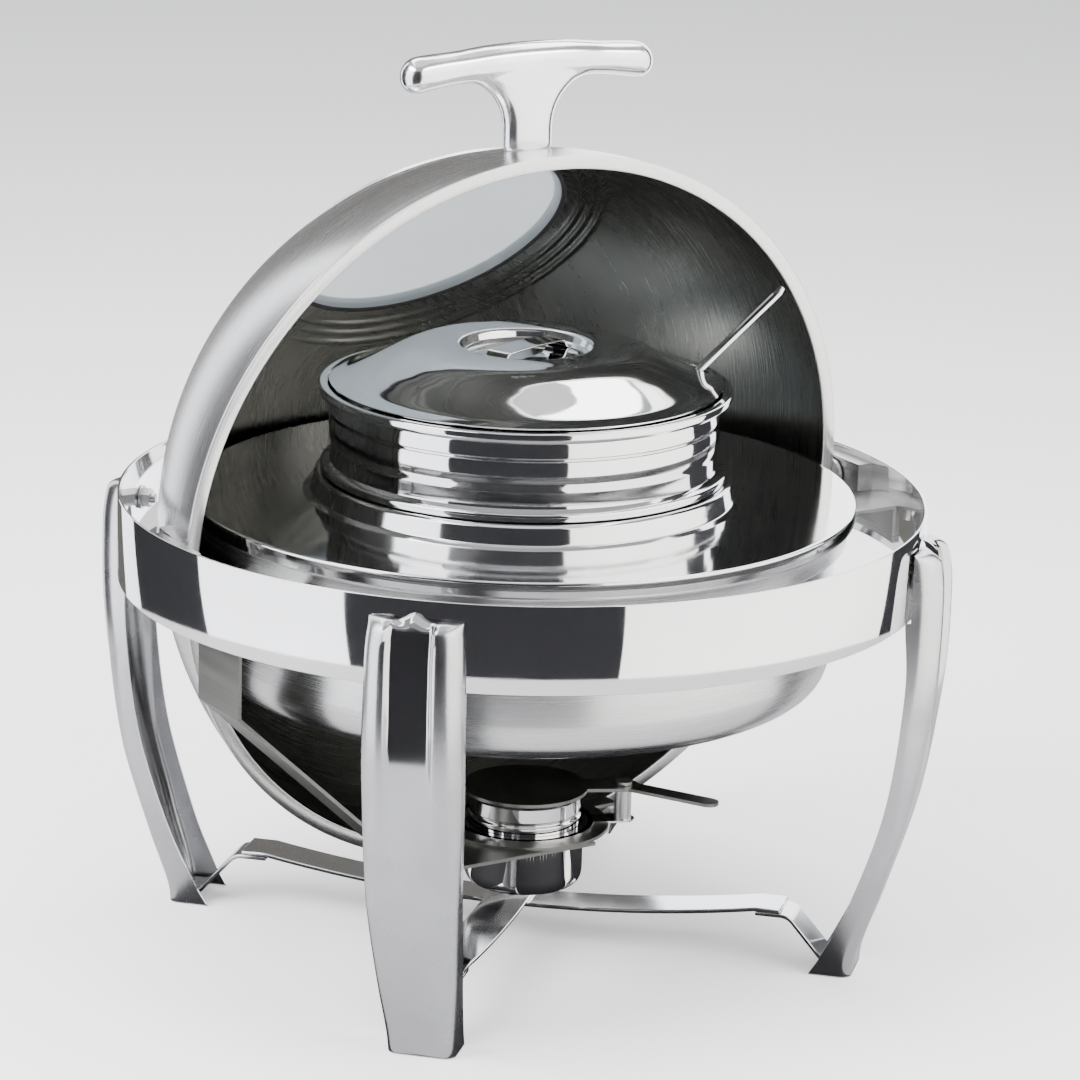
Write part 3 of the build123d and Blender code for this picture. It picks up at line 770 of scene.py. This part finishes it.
def ladle():
    """A strip handle with a pressed groove, and a spun bowl."""
    side = Vector((0, 0, 1)).cross(LADLE_AXIS).normalized()
    face = LADLE_AXIS.cross(side)
    sections = []
    for i in range(60):
        s = -LADLE_BELOW + (LADLE_BELOW + LADLE_ABOVE) * i / 59
        tip = min(max((s - 62) / 5.2, 0), 0.96)
        half = 4.5 * math.sqrt(1 - tip * tip)
        half *= 1 - 0.16 * math.exp(-((s - 20) / 24) ** 2)
        centre = NOTCH + LADLE_AXIS * s
        row = [(-half, -1.0), (-half + 0.5, -1.2), (half - 0.5, -1.2), (half, -1.0), (half, 0.7),
               (half - 0.6, 1.1), (half * 0.55, 1.0), (half * 0.4, 0.2), (-half * 0.4, 0.2),
               (-half * 0.55, 1.0), (-half + 0.6, 1.1), (-half, 0.7)]
        sections.append([tuple(centre + side * a + face * b) for a, b in row])
    bm = bmesh.new()
    loft(bm, sections)
    finish_mesh("ladle_handle_strip", bm, LADLE_STEEL, "ladle", "ladle_steel", ["ladle_handle"], None,
                along_grain(0), sharp=40)
    end = NOTCH - LADLE_AXIS * LADLE_BELOW
    inward = Vector((-LADLE_AXIS.x, -LADLE_AXIS.y, 0)).normalized()
    middle = end + inward * 28.5
    bowl = curved([(0, -22), (10, -21.4), (19, -16), (25.5, -8), (28, 0)], 6)
    turned("ladle_bowl_spun", thickened(bowl, 1.0), LADLE_STEEL, "ladle", "ladle_steel", ["ladle_bowl"],
           Matrix.Translation(middle))


# ---------------------------------------------------------------- fuel holder


def fuel_holder():
    """The cup's spun bowl, drawn over the CAD cup with its ear, and the beaded collar."""
    wall = filleted([(0, 36), (35, 36), (35, 73), (40.8, 73)], 9, 8)
    cup = [(r, z) for r, z in wall[:-1]] + [(40.8, 73)]
    turned("fuel_cup_bowl", thickened(cup, 1.0), MIRROR, "fuel_cup", "mirror_steel", [], centre=(0, CUP_Y))
    line = filleted([(33.5, 74.1), (33.5, 78.6), (32.2, 80.2), (33.5, 82), (33.5, 90.4), (35, 92)], 0.9, 4)
    turned("burner_collar_beaded", thickened(line, 1.2), MIRROR, "fuel_cup", "mirror_steel",
           ["burner_collar"], centre=(0, CUP_Y))


# ---------------------------------------------------------------- carried-over CAD nodes


def dress_cad_nodes():
    """Materials for the nodes whose CAD shape is already right."""
    finishes = {
        SHEET_STEEL: ["hinge_bracket_left", "hinge_bracket_right", "pan_shelf_left", "pan_shelf_right",
                      "lid_boss_left", "lid_boss_right", "brace_rivet"],
        MIRROR: ["fuel_cup"],
        # painted shade on the parts under the pan
        UNDERSIDE_SHADE_STEEL: ["snuffer_cover", "fuel_hanger"],
        FASTENER_STEEL: ["leg_nuts", "leg_washers", "hinge_pin_left", "hinge_pin_right",
                         "shelf_screws", "shelf_nuts", "handle_screws", "snuffer_post"],
    }
    for material, names in finishes.items():
        for name in names:
            mesh = frame["nodes"][name].data
            mesh.materials.clear()
            mesh.materials.append(material)


# ---------------------------------------------------------------- studio


CAMERA_AZIMUTH = -31.8
CAMERA_ELEVATION = 15.8
CAMERA_DISTANCE = 2.6
CAMERA_LENS = 148.4
CAMERA_ROLL = 1.66
AIM_RIGHT = 0.0109
AIM_HEIGHT = 0.2425


def camera():
    """A long lens, a little above the band, from the left of the front, tilted slightly."""
    a = math.radians(CAMERA_AZIMUTH)
    e = math.radians(CAMERA_ELEVATION)
    back = Vector((math.sin(a) * math.cos(e), -math.cos(a) * math.cos(e), math.sin(e)))
    right = Vector((math.cos(a), math.sin(a), 0))
    up = back.cross(right)
    data = bpy.data.cameras.new("camera")
    data.lens = CAMERA_LENS
    data.sensor_width = 36
    data.clip_end = 50
    obj = bpy.data.objects.new("camera", data)
    bpy.context.scene.collection.objects.link(obj)
    place = right * AIM_RIGHT + Vector((0, 0, AIM_HEIGHT)) + back * CAMERA_DISTANCE
    r = math.radians(CAMERA_ROLL)
    across = right * math.cos(r) + up * math.sin(r)
    upward = up * math.cos(r) - right * math.sin(r)
    axes = Matrix((across, upward, back)).transposed().to_4x4()
    obj.matrix_world = Matrix.Translation(place) @ axes
    bpy.context.scene.camera = obj


def stage_material(name, colour, rough=0.9, glow=0.0):
    n = Nodes(name)
    n.set(Roughness=rough)
    n.set(**{"Base_Color": (*colour, 1), "Specular_IOR_Level": 0.1})
    if glow:
        n.set(**{"Emission_Color": (*colour, 1), "Emission_Strength": glow})
    return n.material


def stage_mesh(name, vertices, faces, material, card=False):
    mesh = bpy.data.meshes.new(name)
    mesh.from_pydata(vertices, [], faces)
    mesh.materials.append(material)
    obj = bpy.data.objects.new(name, mesh)
    bpy.context.scene.collection.objects.link(obj)
    if card:
        obj.visible_camera = False
        obj.visible_diffuse = False
        obj.visible_shadow = False
        obj.visible_transmission = False
    return obj


def screen(name, start, end, low, high, radius, material):
    """An upright curved card round the object, between two angles from the camera's side."""
    vertices, faces = [], []
    count = max(2, int(abs(end - start) / 3))
    for i in range(count + 1):
        a = math.radians(CAMERA_AZIMUTH + start + (end - start) * i / count)
        for z in (low, high):
            vertices.append((radius * math.sin(a), -radius * math.cos(a), z))
        if i:
            k = 2 * i
            faces.append((k - 2, k, k + 1, k - 1))
    return stage_mesh(name, vertices, faces, material, card=True)


def disc(name, radius, z, material, card=False, count=64):
    ring = [(radius * math.cos(math.tau * i / count), radius * math.sin(math.tau * i / count), z)
            for i in range(count)]
    return stage_mesh(name, ring, [tuple(range(count))], material, card)


def area_light(name, angle, elevation, distance, size, power, aim=(0, 0, 0.25)):
    a = math.radians(CAMERA_AZIMUTH + angle)
    e = math.radians(elevation)
    place = Vector((math.sin(a) * math.cos(e), -math.cos(a) * math.cos(e), math.sin(e))) * distance
    data = bpy.data.lights.new(name, "AREA")
    data.shape = "RECTANGLE"
    data.size, data.size_y = size
    data.energy = power
    obj = bpy.data.objects.new(name, data)
    bpy.context.scene.collection.objects.link(obj)
    obj.location = place
    obj.rotation_euler = (place - Vector(aim)).to_track_quat("Z", "Y").to_euler()


def world():
    """White to the camera, a soft grey sky to everything else."""
    w = bpy.data.worlds.new("studio")
    bpy.context.scene.world = w
    w.use_nodes = True
    tree = w.node_tree
    tree.nodes.clear()
    out = tree.nodes.new("ShaderNodeOutputWorld")
    sky = tree.nodes.new("ShaderNodeBackground")
    sky.inputs["Color"].default_value = (0.80, 0.82, 0.85, 1)
    sky.inputs["Strength"].default_value = 0.75
    plain = tree.nodes.new("ShaderNodeBackground")
    plain.inputs["Color"].default_value = (1, 1, 1, 1)
    plain.inputs["Strength"].default_value = 1.0
    path = tree.nodes.new("ShaderNodeLightPath")
    mix = tree.nodes.new("ShaderNodeMixShader")
    tree.links.new(path.outputs["Is Camera Ray"], mix.inputs["Fac"])
    tree.links.new(sky.outputs[0], mix.inputs[1])
    tree.links.new(plain.outputs[0], mix.inputs[2])
    tree.links.new(mix.outputs[0], out.inputs["Surface"])


def studio():
    pale = stage_material("floor_pale", (0.90, 0.90, 0.90), glow=0.52)
    disc("floor", 9.0, 0.0, pale)
    dark = stage_material("card_dark", (0.018, 0.018, 0.02))
    mid = stage_material("card_mid", (0.42, 0.42, 0.43), glow=0.25)
    dim = stage_material("card_dim", (0.05, 0.048, 0.045), glow=0.6)
    white = stage_material("card_white", (0.95, 0.96, 1.0), glow=0.85)
    warm = stage_material("card_warm", (0.95, 0.93, 0.89), glow=0.7)
    disc("card_floor_mid", 1.6, 0.0005, mid, card=True)
    disc("card_floor", 0.21, 0.0009, dark, card=True)
    disc("card_ceiling", 0.55, 1.5, mid, card=True)
    for name, start, end, material in (
        ("front_dark", -40, 24, dark), ("right_white", 24, 108, warm), ("right_dark", 108, 132, dark),
        ("right_back", 132, 178, white), ("back_dim", 178, 226, dim), ("left_back", 226, 240, white),
        ("left_dark", 240, 276, dark), ("left_white", -84, -40, white),
    ):
        screen(f"card_{name}", start, end, 0.001, 0.95, 0.68, material)
    area_light("key_left", -62, 42, 2.2, (1.6, 1.2), 95)
    area_light("fill_right", 60, 35, 2.4, (1.4, 1.4), 70)
    area_light("top_soft", 180, 78, 2.2, (2.0, 2.0), 80)


band_ring()
for leg_name, leg_angle in LEG_TURNS.items():
    leg(leg_name, leg_angle)
leg_bolts()
brace("brace_upper", 2.65, 45)
brace("brace_lower", 0.0, 135)
foot_tabs()
dome_shell()
lid_rim()
window()
t_handle()
water_pan()
cover_plate()
soup_pot()
pot_lid()
lid_grip()
ladle()
fuel_holder()
dress_cad_nodes()
camera()
world()
studio()

bpy.context.view_layer.update()
